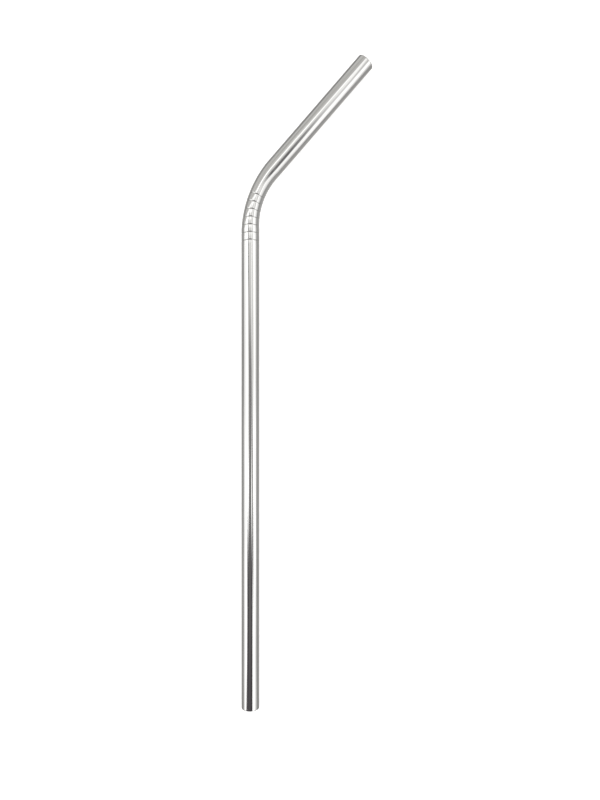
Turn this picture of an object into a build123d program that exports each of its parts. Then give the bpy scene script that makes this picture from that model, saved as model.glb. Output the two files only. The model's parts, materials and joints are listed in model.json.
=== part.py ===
from build123d import *
import os

# A drinking straw in one piece: a drawn steel tube with rings rolled into it and a single bend.
# Millimetres. The straw lies flat: the bend is in the XY plane, +Z is up and the long leg runs along Y.

# Tube
outer_diameter = 6.0
wall = 0.5
lower_leg = 160.7
upper_leg = 47.9
lip_chamfer = 0.15

# Bend, measured on the tube's centre line
bend_radius = 31.0
bend_angle = 40.8
# How much narrower the tube is in the plane of the bend, half way round it
bend_narrowing = 0.6

# Rolled grooves, counted upwards from the first, which lies in the straight leg under the bend
groove_count = 7
groove_pitch = 2.57
groove_width = 0.6
groove_depth = 0.1
first_groove_under_bend = 3.9

bore_diameter = outer_diameter - 2 * wall
# A groove is an arc as wide and deep as stated, with its centre just outside the tube
groove_radius = (groove_width**2 / 4 + groove_depth**2) / (2 * groove_depth)
groove_centre_height = groove_radius - groove_depth
# The rolled wall keeps its thickness, so the bead inside is an arc about the same centre
bead_radius = groove_radius + wall

# Places along the bend, from 0 to 1, where its section is drawn
bend_stations = [0, 0.25, 0.5, 0.75, 1]

UP = (0, 0, 1)

# The centre line, from the foot to the mouth
lower_run = Line((0, 0), (0, lower_leg))
bend_run = JernArc(lower_run @ 1, lower_run % 1, bend_radius, -bend_angle)
upper_run = Line(bend_run @ 1, bend_run @ 1 + (bend_run % 1) * upper_leg)


def cross_plane(run, share):
    """The plane square to a run of the centre line, with its X axis upwards."""
    return Plane(origin=run @ share, x_dir=UP, z_dir=run % share)


def narrowed(diameter, share):
    """The width in the plane of the bend: full at both ends of the bend, least half way."""
    return diameter - bend_narrowing * 4 * share * (1 - share)


def bent_rod(diameter):
    """A solid rod along the whole centre line, round in the legs and narrowed in the bend."""
    section = Circle(diameter / 2)
    lower = extrude(cross_plane(lower_run, 0) * section, lower_leg)
    upper = extrude(cross_plane(upper_run, 0) * section, upper_leg)
    ovals = [
        cross_plane(bend_run, share) * Ellipse(diameter / 2, narrowed(diameter, share) / 2)
        for share in bend_stations
    ]
    bend = sweep(ovals, path=bend_run, multisection=True)
    return lower + bend + upper


def ring(distance, radius):
    """A round ring that follows the tube's outside, at a distance along it from the lower end of the bend."""
    share = min(max(distance / bend_run.length, 0), 1)
    along = bend_run % share
    overrun = distance - share * bend_run.length
    plane = Plane(origin=bend_run @ share + along * overrun, x_dir=UP, z_dir=along)
    half_height = outer_diameter / 2 + groove_centre_height
    half_width = narrowed(outer_diameter, share) / 2 + groove_centre_height
    # The ring starts and ends at the side of the tube
    route = Edge.make_ellipse(half_height, half_width, plane, start_angle=90, end_angle=450)
    outwards = route @ 0 - plane.origin
    return sweep(Plane(route @ 0, x_dir=outwards, z_dir=route % 0) * Circle(radius), path=route)


def straw_tube():
    """The tube: an outside with grooves, less an inside with the beads that the rolling left."""
    outside = bent_rod(outer_diameter)
    inside = bent_rod(bore_diameter)
    for number in range(groove_count):
        distance = number * groove_pitch - first_groove_under_bend
        outside -= ring(distance, groove_radius)
        inside -= ring(distance, bead_radius)
    return outside - inside


def with_lips(tube):
    """Breaks the edges of both ends, inside and outside."""
    ends = [lower_run @ 0, upper_run @ 1]
    rims = [
        edge
        for edge in tube.edges().filter_by(GeomType.CIRCLE)
        if any((edge.arc_center - end).length < wall for end in ends)
    ]
    return chamfer(rims, lip_chamfer)


def laid_down(tube):
    """Puts the origin under the middle of the straw, on the surface that it lies on."""
    middle = tube.bounding_box().center()
    return Pos(-middle.X, -middle.Y, outer_diameter / 2) * tube


straw = laid_down(with_lips(straw_tube()))

os.makedirs("parts", exist_ok=True)
export_step(straw, "parts/straw_tube.step")
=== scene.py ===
"""Dresses a bent drinking straw of drawn stainless steel and lights it on a pale table.

Everything is in metres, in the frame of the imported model: the straw lies on Z = 0, its long leg runs along Y
and the bend turns towards +X.
"""
import json
import logging
import math
from dataclasses import dataclass, field
from enum import Enum
from typing import Any

import bmesh
import bpy
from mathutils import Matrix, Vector


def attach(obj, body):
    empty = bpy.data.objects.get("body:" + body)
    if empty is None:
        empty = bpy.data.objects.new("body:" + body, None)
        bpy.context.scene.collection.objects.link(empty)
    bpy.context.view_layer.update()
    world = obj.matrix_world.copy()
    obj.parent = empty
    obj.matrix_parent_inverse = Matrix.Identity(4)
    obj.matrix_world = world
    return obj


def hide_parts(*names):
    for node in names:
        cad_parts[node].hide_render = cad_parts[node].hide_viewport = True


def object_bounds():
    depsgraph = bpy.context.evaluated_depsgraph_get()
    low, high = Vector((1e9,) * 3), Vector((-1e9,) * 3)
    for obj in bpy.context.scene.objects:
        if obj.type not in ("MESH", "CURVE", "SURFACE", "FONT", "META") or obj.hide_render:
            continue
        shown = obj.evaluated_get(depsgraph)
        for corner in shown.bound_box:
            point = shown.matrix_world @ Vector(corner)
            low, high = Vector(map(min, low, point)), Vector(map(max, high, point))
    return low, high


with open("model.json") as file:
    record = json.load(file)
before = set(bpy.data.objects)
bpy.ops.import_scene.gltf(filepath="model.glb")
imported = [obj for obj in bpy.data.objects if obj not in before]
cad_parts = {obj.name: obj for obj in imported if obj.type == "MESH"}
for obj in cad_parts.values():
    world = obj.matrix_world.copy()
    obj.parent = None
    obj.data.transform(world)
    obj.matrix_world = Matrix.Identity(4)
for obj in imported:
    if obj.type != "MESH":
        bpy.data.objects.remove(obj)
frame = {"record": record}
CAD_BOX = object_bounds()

LOG = logging.getLogger("straw")
MM = 0.001
UP = Vector((0.0, 0.0, 1.0))

# What the tube's mesh tells its finishes: each vertex's place before bending, and its depth in a groove
UNBENT_PLACE = "unbent"
GROOVE_FLOOR = "rolled"

Point = tuple[float, float, float]
Colour = tuple[float, float, float]
NodeInput = float | tuple[float, ...] | bpy.types.NodeSocket


class Surface(Enum):
    """The surfaces of the tube's wall, numbered as their material slots."""

    OUTSIDE = 0
    BORE = 1


def opaque(colour: tuple[float, ...]) -> tuple[float, ...]:
    """Adds the alpha that a colour socket asks for."""
    return (*colour, 1.0)


class NodeSketch:
    """Adds nodes to one tree and wires them up as they are added."""

    # The colour sockets of a mix node, which are numbered after those of its other data types
    FIRST_COLOUR = 6
    SECOND_COLOUR = 7
    MIXED_COLOUR = 2

    def __init__(self, tree: bpy.types.NodeTree) -> None:
        """Starts on an emptied tree.

        Args:
            tree: The tree of a material, a world or a node group.
        """
        self.tree = tree
        tree.nodes.clear()

    def add(
        self,
        kind: str,
        inputs: dict[str | int, NodeInput] | None = None,
        **settings: Any,
    ) -> bpy.types.Node:
        """Adds a node.

        Args:
            kind: The node's type, such as ShaderNodeMath.
            inputs: What goes into its sockets, by name or number: a plain value, or a socket to link.
            settings: The node's own properties.

        Returns:
            The new node.
        """
        node = self.tree.nodes.new(kind)
        for name, value in settings.items():
            setattr(node, name, value)
        for key, value in (inputs or {}).items():
            if isinstance(value, bpy.types.NodeSocket):
                self.tree.links.new(value, node.inputs[key])
            else:
                node.inputs[key].default_value = value
        return node

    def math(self, operation: str, *values: NodeInput) -> bpy.types.NodeSocket:
        """Adds a sum on numbers and returns its result."""
        return self.add("ShaderNodeMath", dict(enumerate(values)), operation=operation).outputs[0]

    def dot(self, first: NodeInput, second: NodeInput) -> bpy.types.NodeSocket:
        """Adds a dot product of two vectors and returns its result."""
        node = self.add("ShaderNodeVectorMath", {0: first, 1: second}, operation="DOT_PRODUCT")
        return node.outputs["Value"]

    def scale(self, vector: NodeInput, factor: NodeInput) -> bpy.types.NodeSocket:
        """Adds a product of a vector, or a colour, and a number and returns its result."""
        node = self.add("ShaderNodeVectorMath", {0: vector, "Scale": factor}, operation="SCALE")
        return node.outputs["Vector"]

    def ramp(
        self,
        value: NodeInput,
        start: float,
        end: float,
        low: NodeInput,
        high: NodeInput,
    ) -> bpy.types.NodeSocket:
        """Adds a smooth step.

        Args:
            value: What is compared with start and end.
            start: The value at which the step begins.
            end: The value at which it is over.
            low: The result up to the start.
            high: The result from the end on.

        Returns:
            The socket with the result.
        """
        inputs = {"Value": value, "From Min": start, "From Max": end, "To Min": low, "To Max": high}
        return self.add("ShaderNodeMapRange", inputs, interpolation_type="SMOOTHSTEP").outputs["Result"]

    def blend(
        self,
        share: NodeInput,
        first: NodeInput,
        second: NodeInput,
        label: str = "",
    ) -> bpy.types.NodeSocket:
        """Adds a mix of two colours.

        Args:
            share: How much of the second colour there is, from 0 to 1.
            first: The colour, or the brightness, at a share of 0.
            second: The colour at a share of 1.
            label: What the node is called in the tree.

        Returns:
            The socket with the mixed colour.
        """
        inputs = {"Factor": share, self.FIRST_COLOUR: first, self.SECOND_COLOUR: second}
        node = self.add("ShaderNodeMix", inputs, data_type="RGBA", label=label)
        return node.outputs[self.MIXED_COLOUR]


@dataclass(frozen=True)
class DrawingLines:
    """The fine lengthwise lines that drawing leaves on a tube, with faint marks of handling over them."""

    name: str = "drawing_lines"
    noise_detail: float = 3.0
    noise_roughness: float = 0.6
    line_start: float = 0.35
    line_end: float = 0.65
    mark_start: float = 0.5
    mark_end: float = 0.72

    def group(self) -> bpy.types.NodeTree:
        """Builds the node group.

        Returns:
            A group that takes a place on the unbent tube and gives masks from 0 to 1 for lines and marks.
        """
        tree = bpy.data.node_groups.new(self.name, "ShaderNodeTree")
        sketch = NodeSketch(tree)
        for name, kind in (("Place", "Vector"), ("Across", "Float"), ("Along", "Float"), ("Marks", "Float")):
            tree.interface.new_socket(name, in_out="INPUT", socket_type=f"NodeSocket{kind}")
        for name in ("Lines", "Marks"):
            tree.interface.new_socket(name, in_out="OUTPUT", socket_type="NodeSocketFloat")
        given = sketch.add("NodeGroupInput").outputs
        stretch = sketch.add(
            "ShaderNodeCombineXYZ",
            {"X": given["Across"], "Y": given["Across"], "Z": given["Along"]},
        )
        drawn = sketch.add(
            "ShaderNodeVectorMath",
            {0: given["Place"], 1: stretch.outputs[0]},
            operation="MULTIPLY",
        )
        grain = {"Detail": self.noise_detail, "Roughness": self.noise_roughness}
        lines = sketch.add("ShaderNodeTexNoise", {"Vector": drawn.outputs[0], "Scale": 1.0, **grain})
        marks = sketch.add(
            "ShaderNodeTexNoise",
            {"Vector": given["Place"], "Scale": given["Marks"], **grain},
        )
        line_mask = sketch.ramp(lines.outputs[0], self.line_start, self.line_end, 0.0, 1.0)
        mark_mask = sketch.ramp(marks.outputs[0], self.mark_start, self.mark_end, 0.0, 1.0)
        sketch.add("NodeGroupOutput", {"Lines": line_mask, "Marks": mark_mask})
        return tree


@dataclass(frozen=True)
class DrawnSteel:
    """A finish of stainless steel: its colour, its polish, how strongly the drawing lines show in it and the
    painted shade in its grooves.
    """

    name: str
    colour: Colour
    roughness: float
    line_shade: float
    line_roughness: float
    line_height: float
    mark_roughness: float
    painted_groove_shade: float = 0.25
    groove_roughness: float = 0.15
    lines_across: float = 1300.0
    lines_along: float = 14.0
    marks_per_metre: float = 55.0

    def material(self, lines: bpy.types.NodeTree) -> bpy.types.Material:
        """Builds the material.

        Args:
            lines: The node group of the drawing lines.

        Returns:
            The finished material.
        """
        material = bpy.data.materials.new(self.name)
        material.use_nodes = True
        sketch = NodeSketch(material.node_tree)
        place = sketch.add("ShaderNodeAttribute", attribute_name=UNBENT_PLACE).outputs["Vector"]
        rolled = sketch.add("ShaderNodeAttribute", attribute_name=GROOVE_FLOOR).outputs["Fac"]
        drawn = sketch.add(
            "ShaderNodeGroup",
            {
                "Place": place,
                "Across": self.lines_across,
                "Along": self.lines_along,
                "Marks": self.marks_per_metre,
            },
            node_tree=lines,
        ).outputs

        shade = tuple(part * (1.0 - self.line_shade) for part in self.colour)
        lined = sketch.blend(drawn["Lines"], opaque(shade), opaque(self.colour))
        # Painted shade: the steel's colour is darkened towards the floor of each rolled groove
        shaded_in_grooves = sketch.scale(lined, sketch.math("MULTIPLY_ADD", rolled, -self.painted_groove_shade, 1.0))
        rough = sketch.math("MULTIPLY_ADD", drawn["Lines"], self.line_roughness, self.roughness)
        rough = sketch.math("MULTIPLY_ADD", rolled, self.groove_roughness, rough)
        rough = sketch.math("MULTIPLY_ADD", drawn["Marks"], self.mark_roughness, rough)
        bump = sketch.add(
            "ShaderNodeBump",
            {"Strength": 1.0, "Distance": self.line_height, "Height": drawn["Lines"]},
        )
        steel = sketch.add(
            "ShaderNodeBsdfPrincipled",
            {"Base Color": shaded_in_grooves, "Metallic": 1.0, "Roughness": rough, "Normal": bump.outputs[0]},
        )
        sketch.add("ShaderNodeOutputMaterial", {"Surface": steel.outputs[0]})
        return material


@dataclass
class StrawTube:
    """The straw's only piece: a tube with one bend, a row of rolled grooves and rounded lips.

    Lengths are developed lengths, measured along the centre line from the lower end before bending. The
    fields that aren't given are worked out from the others.
    """

    foot: Vector
    mouth: Vector
    lower_axis: Vector
    upper_axis: Vector
    outer_radius: float
    bore_radius: float
    bend_radius: float = 31.0 * MM
    bend_narrowing: float = 0.6 * MM
    groove_count: int = 7
    groove_pitch: float = 2.57 * MM
    groove_width: float = 0.45 * MM
    groove_depth: float = 0.08 * MM
    ring_dip: float = 0.01 * MM
    first_groove_under_bend: float = 3.9 * MM
    outer_lip: float = 0.38 * MM
    inner_lip: float = 0.1 * MM
    lip_margin: float = 0.5 * MM
    lip_steps: int = 6
    turn_steps: int = 128
    ring_steps: int = 32
    leg_step: float = 4.0 * MM
    bend_step: float = 0.5 * MM
    merge_distance: float = 0.0001 * MM
    bend_angle: float = field(init=False)
    inward: Vector = field(init=False)
    lower_leg: float = field(init=False)
    bend_length: float = field(init=False)
    bend_end: float = field(init=False)
    length: float = field(init=False)
    first_groove: float = field(init=False)
    rings_start: float = field(init=False)
    rings_end: float = field(init=False)

    @classmethod
    def from_frame(cls, record: dict[str, Any]) -> "StrawTube":
        """Takes the tube's size and place from the record's mounts.

        Args:
            record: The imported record.

        Returns:
            The tube, not built yet.
        """
        mounts = {mount["name"]: mount for mount in record["mounts"]}
        foot_bore, mouth_bore = mounts["foot_bore"], mounts["mouth_bore"]
        foot_inside = Vector(foot_bore["pos_m"])
        foot = Vector((foot_inside.x, CAD_BOX[0].y, foot_inside.z))
        lip_depth = (foot_inside - foot).length
        upper_axis = Vector(mouth_bore["axis"]).normalized()
        return cls(
            foot=foot,
            mouth=Vector(mouth_bore["pos_m"]) + upper_axis * lip_depth,
            lower_axis=-Vector(foot_bore["axis"]).normalized(),
            upper_axis=upper_axis,
            outer_radius=mounts["lower_leg"]["dims"]["r_mm"] * MM,
            bore_radius=foot_bore["dims"]["r_mm"] * MM,
        )

    def __post_init__(self) -> None:
        """Works out the lengths of the legs and the bend from the two ends and their directions."""
        self.bend_angle = self.lower_axis.angle(self.upper_axis)
        self.inward = (self.upper_axis - self.lower_axis * self.lower_axis.dot(self.upper_axis)).normalized()
        reach = self.mouth - self.foot
        upper_to_corner = reach.dot(self.inward) / math.sin(self.bend_angle)
        lower_to_corner = reach.dot(self.lower_axis) - upper_to_corner * math.cos(self.bend_angle)
        tangent = self.bend_radius * math.tan(self.bend_angle / 2)
        self.lower_leg = lower_to_corner - tangent
        self.bend_length = self.bend_radius * self.bend_angle
        self.bend_end = self.lower_leg + self.bend_length
        self.length = self.bend_end + upper_to_corner - tangent
        self.first_groove = self.lower_leg - self.first_groove_under_bend
        self.rings_start = self.first_groove - self.groove_pitch / 2
        self.rings_end = self.rings_start + self.groove_count * self.groove_pitch

    def build(self, finishes: dict[Surface, bpy.types.Material]) -> bpy.types.Object:
        """Builds the tube and dresses it.

        Args:
            finishes: The material of each surface of the wall.

        Returns:
            The tube's object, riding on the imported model's body.
        """
        bm = bmesh.new()
        self.draw_wall(bm)
        bmesh.ops.spin(
            bm,
            geom=bm.verts[:] + bm.edges[:],
            cent=(0.0, 0.0, 0.0),
            axis=(0.0, 0.0, 1.0),
            dvec=(0.0, 0.0, 0.0),
            angle=math.tau,
            steps=self.turn_steps,
            use_merge=True,
        )
        bmesh.ops.remove_doubles(bm, verts=bm.verts, dist=self.merge_distance)
        self.mark_surfaces(bm)
        self.roll_and_bend(bm)
        bmesh.ops.recalc_face_normals(bm, faces=bm.faces)

        mesh = bpy.data.meshes.new("drawn_tube")
        bm.to_mesh(mesh)
        bm.free()
        for surface in Surface:
            mesh.materials.append(finishes[surface])
        tube = bpy.data.objects.new("drawn_tube", mesh)
        bpy.context.scene.collection.objects.link(tube)
        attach(tube, "root")
        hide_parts("straw_tube")
        return tube

    def draw_wall(self, bm: bmesh.types.BMesh) -> None:
        """Draws the section of the wall as a closed wire, with the radius along X and the length along Z.

        Args:
            bm: The empty mesh to draw in.
        """
        stations = self.stations()
        walls: list[list[bmesh.types.BMVert]] = []
        for radius in (self.outer_radius, self.bore_radius):
            wall = [bm.verts.new((radius, 0.0, length)) for length, _ in stations]
            for pair in zip(wall, wall[1:]):
                bm.edges.new(pair)
            walls.append(wall)
        outer, bore = walls
        bm.edges.new((outer[0], bore[0]))
        bm.edges.new((outer[-1], bore[-1]))
        for wall, lip in ((outer, self.outer_lip), (bore, self.inner_lip)):
            bmesh.ops.bevel(
                bm,
                geom=[wall[0], wall[-1]],
                offset=lip,
                offset_type="OFFSET",
                segments=self.lip_steps,
                profile=0.5,
                affect="VERTICES",
                material=-1,
            )
        for (start, step), (end, _) in zip(stations, stations[1:]):
            if not step:
                continue
            between = [edge for edge in bm.edges if start < sum(vert.co.z for vert in edge.verts) / 2 < end]
            bmesh.ops.subdivide_edges(bm, edges=between, cuts=round((end - start) / step) - 1)

    def stations(self) -> list[tuple[float, float]]:
        """Lists the places along the tube where its mesh changes pace.

        Returns:
            Each place with the step from there on, or 0 where nothing is to be divided.
        """
        return [
            (0.0, 0.0),
            (self.lip_margin, self.leg_step),
            (self.rings_start, self.groove_pitch / self.ring_steps),
            (self.rings_end, self.bend_step),
            (self.bend_end, self.leg_step),
            (self.length - self.lip_margin, 0.0),
            (self.length, 0.0),
        ]

    def mark_surfaces(self, bm: bmesh.types.BMesh) -> None:
        """Gives each face its surface and smooth shading, and keeps each vertex's place on the unbent tube.

        Args:
            bm: The straight tube.
        """
        unbent = bm.verts.layers.float_vector.new(UNBENT_PLACE)
        for vert in bm.verts:
            vert[unbent] = vert.co
        middle = (self.outer_radius + self.bore_radius) / 2
        for face in bm.faces:
            centre = face.calc_center_median()
            surface = Surface.BORE if centre.xy.length < middle else Surface.OUTSIDE
            face.material_index = surface.value
            face.smooth = True

    def roll_and_bend(self, bm: bmesh.types.BMesh) -> None:
        """Rolls the grooves into the straight tube, bends it and lays it in its place.

        Args:
            bm: The straight tube, standing on the origin along Z.
        """
        groove_floor = bm.verts.layers.float.new(GROOVE_FLOOR)
        for vert in bm.verts:
            length = vert.co.z
            radius = vert.co.xy.length
            vert[groove_floor] = self.groove_share(length, self.groove_width)
            rolled = radius - self.rolled_depth(length, self.outer_radius - radius)
            share = min(max((length - self.lower_leg) / self.bend_length, 0.0), 1.0)
            sideways = vert.co.x / radius * (rolled - self.narrowing(share))
            upwards = vert.co.y / radius * rolled
            turn = share * self.bend_angle
            inward = self.inward * math.cos(turn) - self.lower_axis * math.sin(turn)
            vert.co = self.centre_line(length, share) + inward * sideways + UP * upwards

    def narrowing(self, share: float) -> float:
        """How much the bend takes off the tube's half width: the most half way, nothing at its ends."""
        return 2 * self.bend_narrowing * share * (1 - share)

    def rolled_depth(self, length: float, depth_in_wall: float) -> float:
        """How far the rolling moves a point of the wall towards the centre line.

        Args:
            length: Where the point is along the tube.
            depth_in_wall: How far it is under the outside.

        Returns:
            The distance, which is 0 away from the grooves.
        """
        if not self.rings_start < length < self.rings_end:
            return 0.0
        turn = math.tau * self.from_groove(length) / self.groove_pitch
        groove = self.groove_depth * self.groove_share(length, self.groove_width + depth_in_wall)
        return groove + self.ring_dip / 2 * (1 + math.cos(turn))

    def groove_share(self, length: float, width: float) -> float:
        """How deep a groove is at a place along the tube.

        Args:
            length: Where the place is.
            width: The groove's width.

        Returns:
            The depth, from 0 beside the grooves to 1 in the middle of one.
        """
        offset = self.from_groove(length)
        if abs(offset) > width / 2 or not self.rings_start < length < self.rings_end:
            return 0.0
        return (1 + math.cos(math.tau * offset / width)) / 2

    def from_groove(self, length: float) -> float:
        """The distance of a place along the tube from the nearest line of the grooves' row."""
        past_first = length - self.first_groove
        return past_first - round(past_first / self.groove_pitch) * self.groove_pitch

    def centre_line(self, length: float, share: float) -> Vector:
        """Finds a point of the centre line.

        Args:
            length: The developed length from the foot.
            share: How much of the bend lies before the point, from 0 to 1.

        Returns:
            The point, in the frame.
        """
        turn = share * self.bend_angle
        straight = min(length, self.lower_leg)
        beyond = max(length - self.bend_end, 0.0)
        along = straight + self.bend_radius * math.sin(turn) + beyond * math.cos(turn)
        aside = self.bend_radius * (1 - math.cos(turn)) + beyond * math.sin(turn)
        return self.foot + self.lower_axis * along + self.inward * aside


@dataclass(frozen=True)
class Card:
    """A soft-edged card of the studio, bright or dark, that the straw mirrors.

    Its centre is given from the straw, and its half sides from the centre. Each pair of edges is square to
    its half side, and is blurred by a share of it.
    """

    name: str
    centre: Point
    half_width: Point
    half_height: Point
    colour: Colour
    softness: tuple[float, float]

    def mask(self, sketch: NodeSketch, direction: bpy.types.NodeSocket) -> bpy.types.NodeSocket:
        """Works out how much of the card is seen in a direction.

        Args:
            sketch: The world's nodes.
            direction: The direction that is looked in from the straw.

        Returns:
            A value from 0, beside the card, to 1, on it.
        """
        centre, wide, high = Vector(self.centre), Vector(self.half_width), Vector(self.half_height)
        facing = wide.cross(high).normalized()
        distance = centre.dot(facing)
        towards = sketch.math("DIVIDE", sketch.dot(direction, tuple(facing)), distance)
        mask = sketch.math("GREATER_THAN", towards, 0.0)
        for side, soft in zip((wide, high), self.softness):
            scale = side / side.length_squared
            place = sketch.math("DIVIDE", sketch.dot(direction, tuple(scale)), towards)
            aside = sketch.math("ABSOLUTE", sketch.math("SUBTRACT", place, centre.dot(scale)))
            inside = sketch.ramp(aside, 1.0 - soft, 1.0 + soft, 1.0, 0.0)
            mask = sketch.math("MULTIPLY", mask, inside)
        return mask


BENCH_GREY = (0.095, 0.088, 0.096)

# Each card hides what it covers of those before it
STUDIO_CARDS: tuple[Card, ...] = (
    Card(
        name="ceiling",
        centre=(-0.1, 0.093, 1.0),
        half_width=(0.42, 0.0, 0.0),
        half_height=(0.0, 0.183, 0.0),
        colour=(1.0, 0.995, 0.985),
        softness=(0.12, 0.15),
    ),
    Card(
        name="bench_side",
        centre=(-0.052, -3.207, 1.0),
        half_width=(0.667, 0.0, 0.0),
        half_height=(0.0, 3.0, 0.0),
        colour=BENCH_GREY,
        softness=(0.02, 0.02),
    ),
    Card(
        name="bench_flank",
        centre=(-0.756, -1.148, 1.0),
        half_width=(1.048, 0.584, 0.0),
        half_height=(0.292, -0.524, 0.0),
        colour=BENCH_GREY,
        softness=(0.1, 0.1),
    ),
    Card(
        name="lamp_shade",
        centre=(0.694, 0.18, 1.0),
        half_width=(0.114, 0.132, 0.0),
        half_height=(0.237, -0.204, 0.0),
        colour=(0.9, 0.897, 0.89),
        softness=(0.41, 0.41),
    ),
    Card(
        name="overhead_camera",
        centre=(0.002, -0.134, 1.0),
        half_width=(0.236, 0.0, 0.0),
        half_height=(0.0, 0.257, 0.0),
        colour=(0.207, 0.198, 0.2),
        softness=(0.36, 0.36),
    ),
    Card(
        name="overhead_arm",
        centre=(0.65, -0.172, 1.0),
        half_width=(0.33, -0.226, 0.0),
        half_height=(0.05, 0.073, 0.0),
        colour=(0.22, 0.215, 0.22),
        softness=(0.25, 0.9),
    ),
    Card(
        name="far_ceiling",
        centre=(-1.17, 10.85, 1.0),
        half_width=(-3.91, 9.21, 0.0),
        half_height=(2.0, 9.8, 0.0),
        colour=(0.73, 0.725, 0.71),
        softness=(0.004, 0.004),
    ),
    Card(
        name="lamp_rail",
        centre=(-0.39, 0.27, 1.0),
        half_width=(0.055, 0.0, 0.0),
        half_height=(0.0, 0.09, 0.0),
        colour=(0.05, 0.05, 0.05),
        softness=(0.2, 0.3),
    ),
)


@dataclass(frozen=True)
class LightTent:
    """A bright white tent round the table, with the darker things in it that the steel mirrors."""

    white: float = 1.73
    skirt: float = 0.88
    skirt_top: float = 0.5
    seen: Colour = (1.0, 1.0, 1.0)
    cards: tuple[Card, ...] = STUDIO_CARDS

    def build(self) -> bpy.types.World:
        """Builds the world that lights the straw.

        Returns:
            The world, set on the scene.
        """
        world = bpy.data.worlds.new("light_tent")
        world.use_nodes = True
        sketch = NodeSketch(world.node_tree)
        direction = sketch.add("ShaderNodeTexCoord").outputs["Generated"]
        height = sketch.add("ShaderNodeSeparateXYZ", {0: direction}).outputs["Z"]
        light = sketch.ramp(height, 0.0, self.skirt_top, self.skirt, self.white)
        for card in self.cards:
            light = sketch.blend(card.mask(sketch, direction), light, opaque(card.colour), card.name)
        lit = sketch.add("ShaderNodeBackground", {"Color": light})
        plain = sketch.add("ShaderNodeBackground", {"Color": opaque(self.seen)})
        eye = sketch.add("ShaderNodeLightPath").outputs["Is Camera Ray"]
        shown = sketch.add("ShaderNodeMixShader", {0: eye, 1: lit.outputs[0], 2: plain.outputs[0]})
        sketch.add("ShaderNodeOutputWorld", {"Surface": shown.outputs[0]})
        bpy.context.scene.world = world
        return world


@dataclass(frozen=True)
class PaleTable:
    """The plain pale floor that the straw lies on."""

    half_size: float = 3.0
    seen: Colour = (0.9, 0.9, 0.9)
    mirrored: Colour = (0.1, 0.1, 0.1)
    glow: Colour = (1.0, 0.995, 0.98)
    seen_glow: float = 0.6
    # Painted light seen only in the steel: the table's glow close to the straw and further off
    near_glow: float = 0.55
    far_glow: float = 0.28
    near_reach: float = 15.0 * MM
    near_openness: float = 0.74
    far_openness: float = 0.96
    openness_samples: int = 8
    roughness: float = 0.9
    specular: float = 0.1
    mottle: float = 0.02
    mottle_scale: float = 60.0

    def material(self) -> bpy.types.Material:
        """Builds the table's finish.

        Returns:
            A material that shows white to the camera, and a painted grey in the steel, with painted light
            close to the straw.
        """
        material = bpy.data.materials.new("pale_table")
        material.use_nodes = True
        sketch = NodeSketch(material.node_tree)
        place = sketch.add("ShaderNodeTexCoord").outputs["Object"]
        eye = sketch.add("ShaderNodeLightPath").outputs["Is Camera Ray"]
        noise = sketch.add("ShaderNodeTexNoise", {"Vector": place, "Scale": self.mottle_scale})
        shade = sketch.math("MULTIPLY_ADD", noise.outputs[0], self.mottle, 1.0 - self.mottle)
        # Painted shade: the table is near white to the camera but a darker painted grey where the steel
        # mirrors it
        colour = sketch.scale(sketch.blend(eye, opaque(self.mirrored), opaque(self.seen)), shade)
        openness = sketch.add(
            "ShaderNodeAmbientOcclusion",
            {"Distance": self.near_reach},
            samples=self.openness_samples,
        ).outputs["AO"]
        # Painted light: as mirrored in the steel, the table glows brighter close to the straw, a painted pool
        # of light beside it
        painted_light_in_steel = sketch.ramp(
            openness, self.near_openness, self.far_openness, self.near_glow, self.far_glow
        )
        matt = sketch.add(
            "ShaderNodeBsdfPrincipled",
            {
                "Base Color": colour,
                "Roughness": self.roughness,
                "Specular IOR Level": self.specular,
                "Emission Color": opaque(self.glow),
                "Emission Strength": sketch.ramp(eye, 0.0, 1.0, painted_light_in_steel, self.seen_glow),
            },
        )
        sketch.add("ShaderNodeOutputMaterial", {"Surface": matt.outputs[0]})
        return material

    def build(self) -> bpy.types.Object:
        """Builds the table's top.

        Returns:
            The floor.
        """
        bm = bmesh.new()
        bmesh.ops.create_grid(bm, x_segments=1, y_segments=1, size=self.half_size)
        mesh = bpy.data.meshes.new("table_top")
        bm.to_mesh(mesh)
        bm.free()
        mesh.materials.append(self.material())
        floor = bpy.data.objects.new("table_top", mesh)
        bpy.context.scene.collection.objects.link(floor)
        return floor


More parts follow.
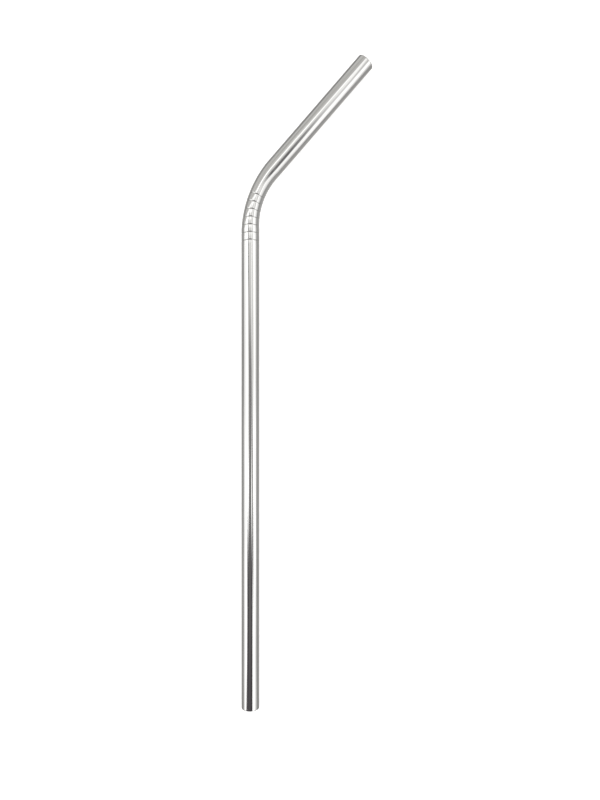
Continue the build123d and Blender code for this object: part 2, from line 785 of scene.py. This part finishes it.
@dataclass(frozen=True)
class OverheadCamera:
    """The camera, straight above the straw with the long leg upright in the picture."""

    above_axis: float = 226.5 * MM
    frame_height: float = 268.8 * MM
    centre: tuple[float, float] = (-2.34 * MM, -6.04 * MM)
    sensor: float = 36.0
    near_clip: float = 1.0 * MM

    def build(self, axis_height: float) -> bpy.types.Object:
        """Sets the camera up.

        Args:
            axis_height: The height of the straw's centre line above the table.

        Returns:
            The camera, set on the scene.
        """
        data = bpy.data.cameras.new("overhead_camera")
        data.sensor_width = self.sensor
        data.lens = self.sensor * self.above_axis / self.frame_height
        data.clip_start = self.near_clip
        camera = bpy.data.objects.new("overhead_camera", data)
        camera.location = (*self.centre, axis_height + self.above_axis)
        bpy.context.scene.collection.objects.link(camera)
        bpy.context.scene.camera = camera
        return camera


POLISHED = DrawnSteel(
    name="polished_steel",
    colour=(0.755, 0.75, 0.735),
    roughness=0.07,
    line_shade=0.28,
    line_roughness=0.04,
    line_height=0.0005 * MM,
    mark_roughness=0.05,
)
AS_DRAWN = DrawnSteel(
    name="bore_steel",
    colour=(0.48, 0.475, 0.465),
    roughness=0.28,
    line_shade=0.25,
    line_roughness=0.15,
    line_height=0.002 * MM,
    mark_roughness=0.1,
)


def main() -> None:
    """Builds the straw, the table, the light and the camera."""
    logging.basicConfig(level=logging.INFO, format="%(name)s: %(message)s")
    lines = DrawingLines().group()
    straw = StrawTube.from_frame(frame["record"])
    tube = straw.build({Surface.OUTSIDE: POLISHED.material(lines), Surface.BORE: AS_DRAWN.material(lines)})
    LOG.info("%s: %d faces, %.1f mm long", tube.name, len(tube.data.polygons), straw.length / MM)
    floor = PaleTable().build()
    LOG.info("%s: %.1f m square", floor.name, floor.dimensions.x)
    world = LightTent().build()
    LOG.info("%s: %d nodes", world.name, len(world.node_tree.nodes))
    camera = OverheadCamera().build(straw.foot.z)
    LOG.info("%s: %.1f mm lens", camera.name, camera.data.lens)
    bpy.context.scene.view_settings.view_transform = "Standard"


if __name__ == "__main__":
    main()
